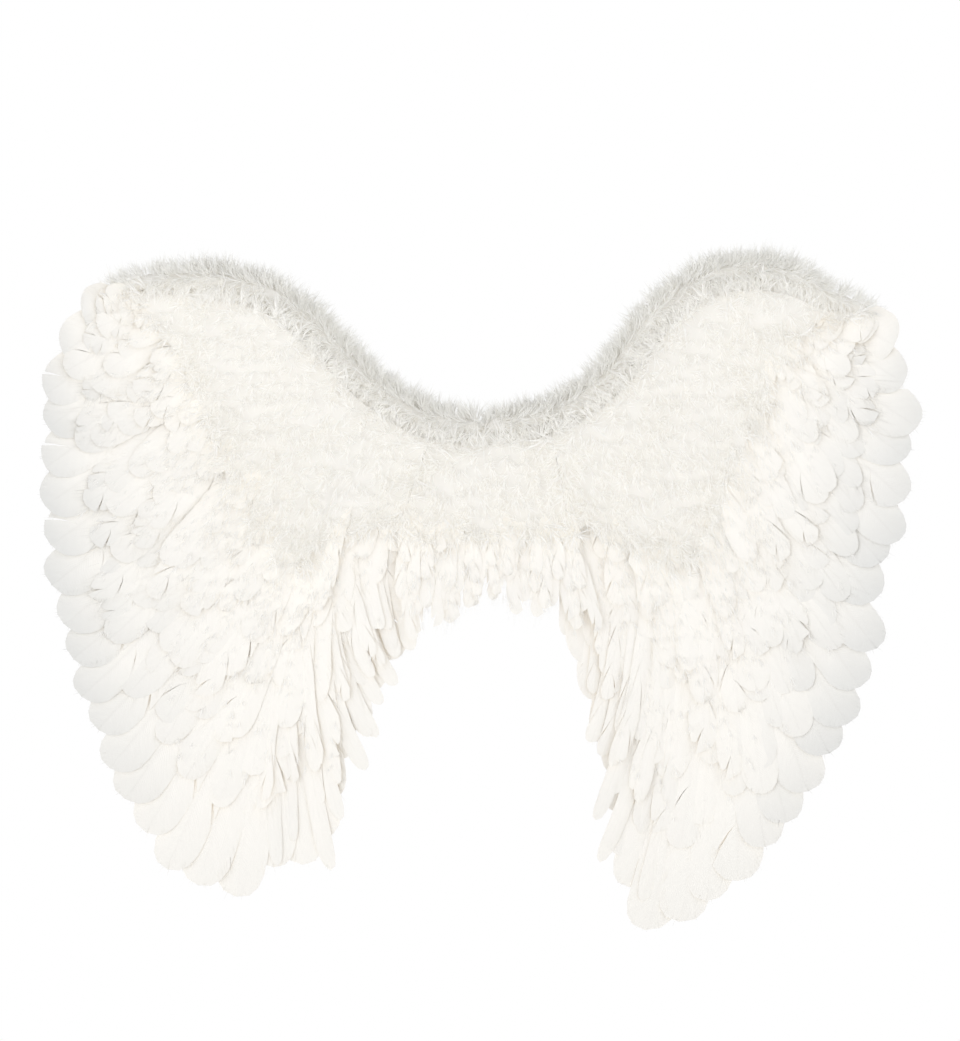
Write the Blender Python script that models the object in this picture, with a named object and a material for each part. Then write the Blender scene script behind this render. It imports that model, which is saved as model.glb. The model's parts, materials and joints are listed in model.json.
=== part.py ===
"""White feather angel wings for a costume, in metres, +Z up, seen from behind the wearer along +Y.

A stiff board of both wings carries rows of feathers that overlap as tiles do: flight feathers outermost,
then long coverts, short coverts and down. A marabou trim follows each leading edge, and two flat elastic
loops on the wearer's side go round the shoulders. The origin is on the board's wearer side, between the
shoulder blades. Depth is measured from there towards the viewer, along -Y.
"""

import math

import bmesh
import bpy
from mathutils import Vector

# Overall size, over the feather tips.
WING_SPAN = 0.566
WING_HEIGHT = 0.448

# The board, which is flat at its middle and sweeps away from the wearer towards the tips.
BOARD_THICKNESS = 0.003
BOARD_REACH = 0.66  # share of each feather line that the board covers
FLAT_HALF_WIDTH = 0.048
SWEEP = 0.030

# One feather row: a thin vane whose one edge stands proud of the next feather.
LAYER_GAP = 0.0005
VANE_THICKNESS = 0.0012
SHINGLE_RISE = 0.0024
ROOT_RISE = 0.3  # share of the rise that is left at the quills
TIP_LOBE = 0.0075  # how far the rounded tips stand out past the notches between them
REACH_SPREAD = 0.0045
LONGEST_CUT = 0.4  # share of a short feather that its notch may take
ROW_STEP = 0.22  # share of a feather line between the roots of one row and the next
FIRST_ROOT = 0.02

# Fluffy down, built as thick locks.
DOWN_THICKNESS = 0.0085
DOWN_RISE = 0.0040
DOWN_LOBE = 0.010
CENTRE_DOWN_THICKNESS = 0.0130

# Marabou trim along the leading edges, which thins out round each wing's shoulder.
TRIM_RADIUS = 0.0115
TRIM_TUFT = 0.20  # share by which a tuft stands out of the trim, and a parting lies in it
TRIM_PITCH = 0.0095
TRIM_SIDES = 8
TRIM_WRAP = 0.75  # share of the outermost feather line that the trim follows
TRIM_TAPER_LENGTH = 0.070
TRIM_END_SHARE = 0.35  # of its radius, at a wing's shoulder
TRIM_MEETING_SHARE = 0.8  # of its radius, where the two trims meet

# Elastic shoulder loops.
LOOP_WIDTH = 0.010
LOOP_THICKNESS = 0.0015
LOOP_FOOT = 0.032  # from the middle of the board to a loop's sewn ends
LOOP_SPLAY = 0.088  # how much further out a loop runs at the front of the shoulder
LOOP_REACH = 0.122
LOOP_RISE = 0.092

# Gap between the pieces of a wing and those of the middle, as a share of one station.
SEAM = 0.045

# Feather lines, from the outer top of the left wing round to that of the right wing. Each line runs from its
# root on the leading edge through a middle point to its tip. Columns are shares: across of half the span, and
# up of the height.
# root across, root up, middle across, middle up, tip across, tip up
FEATHER_LINES = (
    (-0.763, 0.309, -0.832, 0.301, -0.901, 0.287),
    (-0.636, 0.301, -0.813, 0.253, -0.988, 0.178),
    (-0.514, 0.285, -0.763, 0.157, -1.000, 0.044),
    (-0.422, 0.242, -0.712, 0.041, -0.988, -0.102),
    (-0.366, 0.207, -0.643, -0.070, -0.924, -0.262),
    (-0.329, 0.183, -0.574, -0.143, -0.843, -0.400),
    (-0.297, 0.163, -0.505, -0.195, -0.728, -0.527),
    (-0.265, 0.146, -0.452, -0.198, -0.567, -0.579),
    (-0.233, 0.131, -0.412, -0.167, -0.394, -0.527),
    (-0.200, 0.119, -0.376, -0.128, -0.320, -0.378),
    (-0.164, 0.106, -0.302, -0.082, -0.237, -0.277),
    (-0.113, 0.095, -0.182, -0.047, -0.182, -0.207),
    (-0.025, 0.087, -0.030, -0.036, -0.037, -0.178),
    (0.071, 0.090, 0.094, -0.034, 0.101, -0.166),
    (0.164, 0.102, 0.210, -0.047, 0.240, -0.211),
    (0.228, 0.119, 0.302, -0.096, 0.274, -0.306),
    (0.279, 0.140, 0.380, -0.151, 0.325, -0.422),
    (0.320, 0.162, 0.440, -0.198, 0.335, -0.556),
    (0.357, 0.186, 0.491, -0.218, 0.398, -0.628),
    (0.389, 0.215, 0.541, -0.204, 0.565, -0.566),
    (0.426, 0.247, 0.592, -0.151, 0.717, -0.459),
    (0.477, 0.279, 0.638, -0.066, 0.841, -0.328),
    (0.539, 0.303, 0.680, 0.029, 0.919, -0.204),
    (0.620, 0.313, 0.724, 0.124, 0.956, -0.080),
    (0.707, 0.306, 0.763, 0.201, 1.000, 0.073),
    (0.786, 0.285, 0.818, 0.253, 0.993, 0.182),
    (0.820, 0.281, 0.882, 0.268, 0.938, 0.244),
)
LAST_STATION = len(FEATHER_LINES) - 1
LEFT_SEAM = 11
RIGHT_SEAM = 14
TRIM_MEETING = 12.4

# Places on the flight row where a feather is missing or short: station, depth as a share of half the span.
NOTCHES = ((7.42, 0.050), (22.55, 0.075))
NOTCH_WIDTH = 0.22

# A loop's route, sewn end to sewn end. Columns are shares: out of the splay, away of the reach, up of the rise.
# out, away, up
LOOP_ROUTE = (
    (0.00, 0.00, 0.15),
    (0.00, 0.00, 0.39),
    (0.14, 0.05, 0.60),
    (0.46, 0.16, 0.81),
    (0.80, 0.40, 1.00),
    (0.96, 0.72, 0.90),
    (1.00, 0.96, 0.44),
    (0.97, 1.00, -0.06),
    (0.85, 0.80, -0.46),
    (0.56, 0.42, -0.66),
    (0.20, 0.12, -0.58),
    (0.00, 0.00, -0.39),
    (0.00, 0.00, -0.15),
)
LOOP_STEPS = 3  # sections between two points of the route

# How the rows are split across: feathers in the flight row of one wing, and so on.
FLIGHT_COUNT = 26
LONG_COVERT_COUNT = 19
SHORT_COVERT_COUNT = 14
DOWN_COUNT = 10
CENTRE_COUNT = 6
CENTRE_DOWN_COUNT = 6

# Where each row's tips end, as a share of a feather line.
LONG_COVERT_REACH = 0.76
SHORT_COVERT_REACH = 0.52
DOWN_REACH = 0.34
CENTRE_DOWN_REACH = 0.62

# Where across a feather the sheet has a column, and how much of the lobe's depth is lost there.
# place across, share of the lobe
LOBE_COLUMNS = ((-0.5, 1.0), (-0.28, 0.22), (0.0, 0.0), (0.28, 0.22), (0.5, 1.0))


def along(rows, station):
    """One row of the table at any station between its rows, on a smooth curve through them."""
    last = len(rows) - 1
    station = min(max(station, 0.0), float(last))
    first = min(int(station), last - 1)
    share = station - first
    before = rows[max(first - 1, 0)]
    here = rows[first]
    there = rows[first + 1]
    after = rows[min(first + 2, last)]
    return [
        b + 0.5 * share * (c - a + share * (2 * a - 5 * b + 4 * c - d + share * (3 * (b - c) + d - a)))
        for a, b, c, d in zip(before, here, there, after)
    ]


def line_point(station, share):
    """A point of the wing's plane: across and up, in metres, at a share of the feather line from its root."""
    root_x, root_z, middle_x, middle_z, tip_x, tip_z = along(FEATHER_LINES, station)
    at_root = (1 - share) * (1 - 2 * share)
    at_middle = 4 * share * (1 - share)
    at_tip = share * (2 * share - 1)
    across = at_root * root_x + at_middle * middle_x + at_tip * tip_x
    up = at_root * root_z + at_middle * middle_z + at_tip * tip_z
    return across * WING_SPAN / 2, up * WING_HEIGHT


def line_length(station):
    steps = 8
    points = [Vector(line_point(station, step / steps)) for step in range(steps + 1)]
    return sum((b - a).length for a, b in zip(points, points[1:]))


def swept(across, up, depth):
    """The place of a point of the wing's plane, with the sweep away from the wearer."""
    outside = max(0.0, abs(across) - FLAT_HALF_WIDTH) / (WING_SPAN / 2 - FLAT_HALF_WIDTH)
    return Vector((across, -depth - SWEEP * outside**2, up))


def even_stations(first, last, share, count):
    """Stations that split one curve of equal share into pieces of equal length."""
    fine = 400
    stations = [first + (last - first) * step / fine for step in range(fine + 1)]
    points = [Vector(line_point(station, share)) for station in stations]
    run = [0.0]
    for a, b in zip(points, points[1:]):
        run.append(run[-1] + (b - a).length)
    found = []
    at = 0
    for piece in range(count + 1):
        goal = run[-1] * piece / count
        while at < fine - 1 and run[at + 1] < goal:
            at += 1
        step = (goal - run[at]) / (run[at + 1] - run[at])
        found.append(stations[at] + (stations[at + 1] - stations[at]) * min(max(step, 0.0), 1.0))
    return found


def material(name, colour, roughness):
    made = bpy.data.materials.new(name)
    made.use_nodes = True
    shader = made.node_tree.nodes["Principled BSDF"]
    shader.inputs["Base Color"].default_value = (*colour, 1.0)
    shader.inputs["Roughness"].default_value = roughness
    shader.inputs["Metallic"].default_value = 0.0
    return made


def solid(name, points, faces, finish):
    """One closed mesh as an object of the scene, with its faces turned outwards."""
    mesh = bpy.data.meshes.new(name)
    mesh.from_pydata(points, [], faces)
    shape = bmesh.new()
    shape.from_mesh(mesh)
    bmesh.ops.recalc_face_normals(shape, faces=shape.faces)
    if shape.calc_volume(signed=True) < 0:
        bmesh.ops.reverse_faces(shape, faces=shape.faces)
    shape.to_mesh(mesh)
    shape.free()
    mesh.materials.append(finish)
    made = bpy.data.objects.new(name, mesh)
    bpy.context.scene.collection.objects.link(made)
    return made


def sheet_columns(first, last, count, root, reach, lobe, notches):
    """The columns of a row, each once: station, reach, place across its feather, and whether two feathers meet."""
    stations = even_stations(first, last, reach, count)
    columns = []
    for feather in range(count):
        start, end = stations[feather], stations[feather + 1]
        spread = REACH_SPREAD * (0.5 + 0.5 * math.sin(2.4 * feather))
        for place, lost in LOBE_COLUMNS:
            if feather and place == LOBE_COLUMNS[0][0]:
                continue
            station = start + (end - start) * (place + 0.5)
            cut = lobe * lost + spread * (1 - lost)
            for at, depth in notches:
                cut += depth * WING_SPAN / 2 * math.exp(-(((station - at) / NOTCH_WIDTH) ** 2))
            between = place == LOBE_COLUMNS[-1][0] and feather < count - 1
            lost_share = min(cut / line_length(station), LONGEST_CUT * (reach - root))
            columns.append((station, reach - lost_share, place + 0.5, between))
    return columns


def feather_row(name, finish, first, last, count, root, reach, base_root, thickness, rise, lobe,
                towards_last=True, notches=(), cuts=2):
    """A row of feathers fused into one sheet: flat behind, and stepped in front where each feather's proud edge
    ends over its neighbour. Its back lies on the row below, which starts one row step further down."""
    lift = (VANE_THICKNESS + SHINGLE_RISE + LAYER_GAP) / ROW_STEP
    points = []
    backs, befores, afters = [], [], []

    def point(station, share, above):
        across, up = line_point(station, share)
        depth = BOARD_THICKNESS + LAYER_GAP + lift * (share - base_root) + above
        points.append(swept(across, up, depth))
        return len(points) - 1

    for station, end, place, between in sheet_columns(first, last, count, root, reach, lobe, notches):
        back, before, after = [], [], []
        proud = place if towards_last else 1 - place
        for cut in range(cuts + 1):
            share = root + (end - root) * cut / cuts
            grown = rise * (ROOT_RISE + (1 - ROOT_RISE) * cut / cuts)
            back.append(point(station, share, 0.0))
            before.append(point(station, share, thickness + grown * proud))
            if between:
                after.append(point(station, share, thickness + grown * (1 - proud)))
            else:
                after.append(before[-1])
        backs.append(back)
        befores.append(before)
        afters.append(after)

    faces = []
    last_column = len(backs) - 1
    for j in range(last_column):
        for r in range(cuts):
            faces.append((backs[j][r], backs[j][r + 1], backs[j + 1][r + 1], backs[j + 1][r]))
            faces.append((afters[j][r], befores[j + 1][r], befores[j + 1][r + 1], afters[j][r + 1]))
        for r in (0, cuts):
            # The lower of the two heights where feathers meet is a corner of both end walls.
            near = [afters[j][r]]
            if towards_last is False and afters[j][r] != befores[j][r]:
                near = [befores[j][r], afters[j][r]]
            far = [befores[j + 1][r]]
            if towards_last and afters[j + 1][r] != befores[j + 1][r]:
                far = [afters[j + 1][r], befores[j + 1][r]]
            loop = [backs[j][r], *near, *reversed(far), backs[j + 1][r]]
            pivot = loop[-1] if len(near) > 1 else loop[0]
            turned = loop[loop.index(pivot):] + loop[:loop.index(pivot)]
            faces.extend((turned[0], turned[k], turned[k + 1]) for k in range(1, len(turned) - 1))
    for j in range(1, last_column):
        if befores[j][0] != afters[j][0]:
            for r in range(cuts):
                faces.append((befores[j][r], afters[j][r], afters[j][r + 1], befores[j][r + 1]))
    for j in (0, last_column):
        for r in range(cuts):
            faces.append((backs[j][r], befores[j][r], befores[j][r + 1], backs[j][r + 1]))
    return solid(name, points, faces, finish)


def backing_board(finish):
    """The board of both wings: a plate between the leading edge and a smooth curve under the feathers."""
    across_cuts, down_cuts = 52, 3
    stations = [LAST_STATION * step / across_cuts for step in range(across_cuts + 1)]
    points, faces = [], []
    for depth in (0.0, BOARD_THICKNESS):
        for station in stations:
            for cut in range(down_cuts + 1):
                points.append(swept(*line_point(station, BOARD_REACH * cut / down_cuts), depth))
    row = down_cuts + 1
    layer = row * len(stations)
    for j in range(across_cuts):
        for r in range(down_cuts):
            a = j * row + r
            faces.append((a, a + row, a + row + 1, a + 1))
            faces.append((a + layer, a + layer + 1, a + layer + row + 1, a + layer + row))
        for r in (0, down_cuts):
            a = j * row + r
            faces.append((a, a + layer, a + layer + row, a + row))
    for j in (0, across_cuts):
        for r in range(down_cuts):
            a = j * row + r
            faces.append((a, a + 1, a + layer + 1, a + layer))
    return solid("backing_board", points, faces, finish)


def even_points(points, pitch):
    """Points a pitch apart, or nearly so, along a chain of points, from its first to its last."""
    run = [0.0]
    for a, b in zip(points, points[1:]):
        run.append(run[-1] + (b - a).length)
    pieces = max(1, round(run[-1] / pitch))
    found = []
    at = 0
    for piece in range(pieces + 1):
        goal = run[-1] * piece / pieces
        while at < len(points) - 2 and run[at + 1] < goal:
            at += 1
        step = points[at + 1] - points[at]
        found.append(points[at] + step * min((goal - run[at]) / step.length, 1.0))
    return found


def trim_route(first, last, wrap_line):
    """The trim's ring centres in the wing's plane, before its seat: along the leading edge, and then round the
    shoulder along the outermost feather line. The corner between the two has a ring of its own."""
    edge_cuts, wrap_cuts = 120, 12
    edge = [Vector(line_point(first + (last - first) * cut / edge_cuts, 0.0)) for cut in range(edge_cuts + 1)]
    wrap = [Vector(line_point(wrap_line, TRIM_WRAP * cut / wrap_cuts)) for cut in range(wrap_cuts + 1)]
    if wrap_line == first:
        return even_points(wrap[::-1], TRIM_PITCH)[:-1] + even_points(edge, TRIM_PITCH)
    return even_points(edge, TRIM_PITCH) + even_points(wrap, TRIM_PITCH)[1:]


def marabou_trim(name, finish, route, tapers_at_start):
    """A fluffy tube outside the leading edge, with tufts that stand out all round it."""
    points, faces = [], []
    last_ring = len(route) - 1
    for ring, middle in enumerate(route):
        way = Vector((0.0, 0.0))
        if ring > 0:
            way += (middle - route[ring - 1]).normalized()
        if ring < last_ring:
            way += (route[ring + 1] - middle).normalized()
        way.normalize()
        outward = Vector((-way.y, way.x))
        from_end = ring if tapers_at_start else last_ring - ring
        grown = min(from_end * TRIM_PITCH / TRIM_TAPER_LENGTH, 1.0)
        full = TRIM_RADIUS * (TRIM_END_SHARE + (1 - TRIM_END_SHARE) * grown)
        if from_end == last_ring:
            full *= TRIM_MEETING_SHARE
        seat = full * (1 + TRIM_TUFT) + LAYER_GAP
        for side in range(TRIM_SIDES):
            angle = 2 * math.pi * side / TRIM_SIDES
            tuft = TRIM_TUFT if (ring + side) % 2 else -TRIM_TUFT
            radius = full * (1 + tuft)
            out = middle + outward * (seat + radius * math.cos(angle))
            points.append(swept(out.x, out.y, seat + radius * math.sin(angle)))
    for ring in range(last_ring):
        for side in range(TRIM_SIDES):
            a = ring * TRIM_SIDES + side
            b = ring * TRIM_SIDES + (side + 1) % TRIM_SIDES
            faces.append((a, b, b + TRIM_SIDES, a + TRIM_SIDES))
    for ring in (0, last_ring):
        faces.append(tuple(ring * TRIM_SIDES + side for side in range(TRIM_SIDES)))
    return solid(name, points, faces, finish)


def loop_point(station, mirror):
    out, away, up = along(LOOP_ROUTE, station)
    seat = LAYER_GAP + LOOP_THICKNESS / 2
    return Vector((mirror * (LOOP_FOOT + LOOP_SPLAY * out), seat + LOOP_REACH * max(away, 0.0), LOOP_RISE * up))


def shoulder_loop(name, finish, mirror):
    """A flat elastic band from one sewn end to the other, round the place of a shoulder."""
    count = (len(LOOP_ROUTE) - 1) * LOOP_STEPS
    half_wide, half_thick = LOOP_WIDTH / 2, LOOP_THICKNESS / 2
    points, faces = [], []
    for index in range(count + 1):
        station = index / LOOP_STEPS
        here = loop_point(station, mirror)
        run = loop_point(station + 0.05, mirror) - loop_point(station - 0.05, mirror)
        run.normalize()
        wide = Vector((1, 0, 0)) - run * run.x
        wide.normalize()
        thick = run.cross(wide)
        for w, t in ((-1, -1), (1, -1), (1, 1), (-1, 1)):
            points.append(here + wide * (w * half_wide) + thick * (t * half_thick))
    for index in range(count):
        for corner in range(4):
            a = index * 4 + corner
            b = index * 4 + (corner + 1) % 4
            faces.append((a, b, b + 4, a + 4))
    faces.append((0, 1, 2, 3))
    faces.append(tuple(count * 4 + corner for corner in range(4)))
    return solid(name, points, faces, finish)


def wing(side, first, last, towards_last, feather, down, fluff):
    """The rows of one wing, from the flight feathers up to the down."""
    long_root = FIRST_ROOT + ROW_STEP
    flight_root = FIRST_ROOT + 2 * ROW_STEP
    feather_row("flight_feathers_" + side, feather, first, last, FLIGHT_COUNT, flight_root, 1.0, flight_root,
                VANE_THICKNESS, SHINGLE_RISE, TIP_LOBE, towards_last, NOTCHES, cuts=3)
    feather_row("long_coverts_" + side, feather, first, last, LONG_COVERT_COUNT, long_root,
                LONG_COVERT_REACH, long_root, VANE_THICKNESS, SHINGLE_RISE, TIP_LOBE, towards_last)
    feather_row("short_coverts_" + side, feather, first, last, SHORT_COVERT_COUNT, FIRST_ROOT,
                SHORT_COVERT_REACH, FIRST_ROOT, VANE_THICKNESS, SHINGLE_RISE, TIP_LOBE, towards_last)
    feather_row("down_" + side, down, first, last, DOWN_COUNT, 0.0, DOWN_REACH, FIRST_ROOT - ROW_STEP,
                DOWN_THICKNESS, DOWN_RISE, DOWN_LOBE, towards_last)
    if side == "left":
        route = trim_route(first, TRIM_MEETING - SEAM, first)
    else:
        route = trim_route(TRIM_MEETING + SEAM, last, last)
    marabou_trim("marabou_trim_" + side, fluff, route, side == "left")


def main():
    for old in list(bpy.data.objects):
        bpy.data.objects.remove(old)
    card = material("white_felt", (0.86, 0.86, 0.84), 0.95)
    feather = material("white_feather", (0.92, 0.91, 0.88), 0.7)
    down = material("white_down", (0.95, 0.94, 0.91), 0.9)
    fluff = material("white_marabou", (0.94, 0.93, 0.90), 0.95)
    elastic = material("white_elastic", (0.88, 0.88, 0.87), 0.8)

    backing_board(card)
    wing("left", 0.0, LEFT_SEAM - SEAM, True, feather, down, fluff)
    wing("right", RIGHT_SEAM + SEAM, float(LAST_STATION), False, feather, down, fluff)
    feather_row("centre_feathers", feather, LEFT_SEAM + SEAM, RIGHT_SEAM - SEAM, CENTRE_COUNT, FIRST_ROOT, 1.0,
                FIRST_ROOT, VANE_THICKNESS, SHINGLE_RISE, TIP_LOBE)
    feather_row("centre_down", down, LEFT_SEAM + SEAM, RIGHT_SEAM - SEAM, CENTRE_DOWN_COUNT, 0.0,
                CENTRE_DOWN_REACH, FIRST_ROOT - ROW_STEP, CENTRE_DOWN_THICKNESS, DOWN_RISE, DOWN_LOBE)
    shoulder_loop("shoulder_loop_left", elastic, -1)
    shoulder_loop("shoulder_loop_right", elastic, 1)


if __name__ == "__main__":
    main()
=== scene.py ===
"""Looks of a pair of white feather angel wings: feathers, down, marabou trim, felt board and elastic loops.

The pieces take the places of the frame's solids, in metres, +Z up, seen from behind the wearer along +Y.
Feathers follow the same feather lines as the solids do. The file is laid out as a Blender add-on, with one
operator for each group of like pieces, and is run as a script.
"""

import json
import math
import random

import bmesh
import bpy
import numpy as np
from mathutils import Matrix, Vector

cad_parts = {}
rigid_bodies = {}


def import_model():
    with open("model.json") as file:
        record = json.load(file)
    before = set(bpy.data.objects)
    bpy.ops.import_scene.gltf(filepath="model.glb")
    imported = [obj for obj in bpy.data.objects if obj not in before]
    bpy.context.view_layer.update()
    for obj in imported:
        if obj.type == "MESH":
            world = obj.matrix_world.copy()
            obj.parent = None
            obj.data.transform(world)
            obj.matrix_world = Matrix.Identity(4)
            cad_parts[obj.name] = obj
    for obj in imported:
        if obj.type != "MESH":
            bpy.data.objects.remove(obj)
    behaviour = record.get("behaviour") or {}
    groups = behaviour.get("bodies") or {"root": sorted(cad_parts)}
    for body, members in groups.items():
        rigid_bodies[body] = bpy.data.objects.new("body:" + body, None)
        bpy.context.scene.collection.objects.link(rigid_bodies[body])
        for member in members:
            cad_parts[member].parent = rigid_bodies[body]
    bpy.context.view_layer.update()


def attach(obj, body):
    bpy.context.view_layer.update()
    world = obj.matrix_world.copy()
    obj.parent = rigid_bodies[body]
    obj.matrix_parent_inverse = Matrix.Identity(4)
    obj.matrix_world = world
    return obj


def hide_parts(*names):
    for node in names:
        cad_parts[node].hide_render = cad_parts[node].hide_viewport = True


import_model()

bl_info = {
    "name": "Angel wings",
    "version": (1, 0, 0),
    "blender": (4, 5, 0),
    "location": "3D View > Sidebar > Wings",
    "description": "Dresses a pair of feather angel wings, piece by piece",
    "category": "Object",
}

BODY = "root"

# Feather lines, from the outer top of the left wing round to that of the right wing. Each line runs from
# its root on the leading edge through a middle point to its tip. Columns are shares: across of half the
# span, and up of the height.
# root across, root up, middle across, middle up, tip across, tip up
FEATHER_LINES = (
    (-0.763, 0.309, -0.832, 0.301, -0.901, 0.287),
    (-0.636, 0.301, -0.813, 0.253, -0.988, 0.178),
    (-0.514, 0.285, -0.763, 0.157, -1.000, 0.044),
    (-0.422, 0.242, -0.712, 0.041, -0.988, -0.102),
    (-0.366, 0.207, -0.643, -0.070, -0.924, -0.262),
    (-0.329, 0.183, -0.574, -0.143, -0.843, -0.400),
    (-0.297, 0.163, -0.505, -0.195, -0.728, -0.527),
    (-0.265, 0.146, -0.452, -0.198, -0.567, -0.579),
    (-0.233, 0.131, -0.412, -0.167, -0.394, -0.527),
    (-0.200, 0.119, -0.376, -0.128, -0.320, -0.378),
    (-0.164, 0.106, -0.302, -0.082, -0.237, -0.277),
    (-0.113, 0.095, -0.182, -0.047, -0.182, -0.207),
    (-0.025, 0.087, -0.030, -0.036, -0.037, -0.178),
    (0.071, 0.090, 0.094, -0.034, 0.101, -0.166),
    (0.164, 0.102, 0.210, -0.047, 0.240, -0.211),
    (0.228, 0.119, 0.302, -0.096, 0.274, -0.306),
    (0.279, 0.140, 0.380, -0.151, 0.325, -0.422),
    (0.320, 0.162, 0.440, -0.198, 0.335, -0.556),
    (0.357, 0.186, 0.491, -0.218, 0.398, -0.628),
    (0.389, 0.215, 0.541, -0.204, 0.565, -0.566),
    (0.426, 0.247, 0.592, -0.151, 0.717, -0.459),
    (0.477, 0.279, 0.638, -0.066, 0.841, -0.328),
    (0.539, 0.303, 0.680, 0.029, 0.919, -0.204),
    (0.620, 0.313, 0.724, 0.124, 0.956, -0.080),
    (0.707, 0.306, 0.763, 0.201, 1.000, 0.073),
    (0.786, 0.285, 0.818, 0.253, 0.993, 0.182),
    (0.820, 0.281, 0.882, 0.268, 0.938, 0.244),
)
LAST_STATION = len(FEATHER_LINES) - 1
SEAM = 0.045
LEFT_STATIONS = (0.0, 11 - SEAM)
CENTRE_STATIONS = (11 + SEAM, 14 - SEAM)
RIGHT_STATIONS = (14 + SEAM, float(LAST_STATION))
# Where the left and the right trim meet.
TRIM_MEETING = 12.4

# Places on the flight row where a feather is missing or short: station, depth as a share of half the span.
NOTCHES = ((7.42, 0.050), (22.55, 0.075))
NOTCH_WIDTH = 0.22

# Rows of feathers, outermost first. Root and tip are shares of a feather line. Height is the share at which
# the row would meet the board. Width is in metres. Slack is how far a feather may stray, as a share of its
# pitch. Warmth is 0 for a cool white and 1 for a warm one. Frayed is the share of feathers that are frayed.
# Loose is how many barbs have come loose on it, as a share of the looseness.
# node, root, tip, height, feathers, width, slack, warmth, frayed, loose
WING_ROWS = (
    ("flight_feathers", 0.46, 1.00, 0.46, 26, 0.0330, 0.05, 0.90, 0.0, 0.0),
    ("long_coverts", 0.36, 0.855, 0.26, 29, 0.0265, 0.45, 0.95, 0.45, 0.08),
    ("long_coverts", 0.29, 0.765, 0.19, 31, 0.0240, 0.60, 1.00, 0.50, 0.14),
    ("long_coverts", 0.22, 0.680, 0.12, 31, 0.0225, 0.70, 1.00, 0.55, 0.24),
    ("short_coverts", 0.16, 0.600, 0.05, 30, 0.0205, 0.70, 1.00, 0.60, 0.45),
    ("short_coverts", 0.10, 0.520, -0.02, 29, 0.0190, 0.70, 1.00, 0.70, 0.85),
    ("short_coverts", 0.04, 0.440, -0.09, 28, 0.0180, 0.70, 1.00, 0.80, 1.40),
    ("down", 0.02, 0.370, -0.13, 26, 0.0165, 0.70, 1.00, 0.90, 1.80),
)
CENTRE_ROWS = (
    ("centre_feathers", 0.20, 1.00, 0.02, 19, 0.0095, 0.90, 0.95, 1.00, 0.20),
    ("centre_feathers", 0.16, 0.90, -0.03, 20, 0.0100, 0.90, 1.00, 1.00, 0.50),
    ("centre_feathers", 0.12, 0.78, -0.08, 20, 0.0105, 0.90, 1.00, 1.00, 0.90),
    ("centre_down", 0.06, 0.640, -0.13, 17, 0.0125, 0.70, 1.00, 0.90, 1.30),
)
# Narrow strands that hang over the flight feathers and the long coverts on the inner side of each wing.
INNER_ROWS = (
    ("flight_feathers", 0.42, 1.00, 0.28, 21, 0.0110, 0.85, 0.95, 0.0, 0.0),
    ("long_coverts", 0.32, 0.88, 0.14, 20, 0.0105, 0.90, 1.00, 0.70, 0.15),
)
INNER_STRETCHES = {"left": (7.9, LEFT_STATIONS[1]), "right": (RIGHT_STATIONS[0], 17.0)}
# A row with less slack than this is laid strictly, with the tips rounded over this share of the width.
STRICT_SLACK = 0.1
STRICT_TIP = 0.62
# How far a feather strays where the slack is 1: off the row, in metres; in length, as a share of the line;
# and in roll and yaw, in radians.
STRAY_OFF, STRAY_LENGTH, STRAY_ROLL, STRAY_YAW = 0.0016, 0.05, 0.07, 0.17
# The least that a feather lies off its row, and the largest share of it that can be cut off.
OFF_ROW = 0.0012
MOST_CUT = 0.4

# The height of the down's pad, as a row's height.
PAD_HEIGHT = -0.20
# How quickly the pad thins out towards its lower end and its free sides.
PAD_THINNING = 2.2
PAD_SIDE_ROWS = 8
# Waves of its lower end: depth as a share of its reach, radians for each station, start.
PAD_WAVES = ((0.05, 7.3, 0), (0.04, 17.1, 1), (0.03, 31, 0))

# Edges that turn more than this stay sharp.
SHARP_ANGLE = math.radians(55)

# Where the outer feathers are cool: middle station, half the number of stations.
COOL_STRETCHES = ((2.6, 3.4), (22.6, 3.8))

# Cuts of a curve whose length is measured: along a row, along a feather line.
ROW_CUTS = 400
LINE_CUTS = 8

# Shapes of feather: how long the rounded tip is, as a share of the feather.
FEATHER_TIPS = (0.09, 0.13, 0.18, 0.25, 0.34)
# How each shape is worn: clumps of barbs that have come apart on the left and right vane, how ragged they
# are, and how far loose barbs stand out past the edge, as a share of the width.
# left splits, right splits, ragged, fringe
WEAR = (
    ((), (), 0.0, 0.05),
    ((), (8,), 0.1, 0.06),
    ((6,), (), 0.1, 0.06),
    ((), (7,), 0.20, 0.20),
    ((6, 9), (5, 8), 0.40, 0.28),
    ((4, 8), (6, 10), 0.60, 0.36),
)
WHOLE_KINDS = 3
VANE_ROWS = 11
VANE_COLUMNS = 3
FRINGE_BARBS = 26  # on each vane

# Loose barbs grow past this place on a feather, and where its normal's Y is below this value.
LOOSE_FROM = 0.72
LOOSE_FACING = -0.5
# How fine the vanes' waves are.
RUFFLE_SCALE = 38.0

# Tufts: barbs, and how far they spread, in radians.
FULL_TUFT = (10, 0.66)
LOOSE_TUFT = (7, 0.42)
TUFT_KINDS = 9
TUFT_SEED = 50
# A tuft is drawn by a number up to this, which goes round the kinds.
TUFT_DRAWS = 97
# The smallest and the largest tuft, as shares of the length.
TUFT_SIZES = (0.65, 1.15)
# How far tufts lean along their flow, and how far they stray from it.
DOWN_LEAN = (1.1, 0.9)
MARABOU_LEAN = (1.0, 0.75)
LOOSE_LEAN = (5.5, 0.9)
# No tufts grow where a base says less than this.
BARE = 0.05

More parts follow.
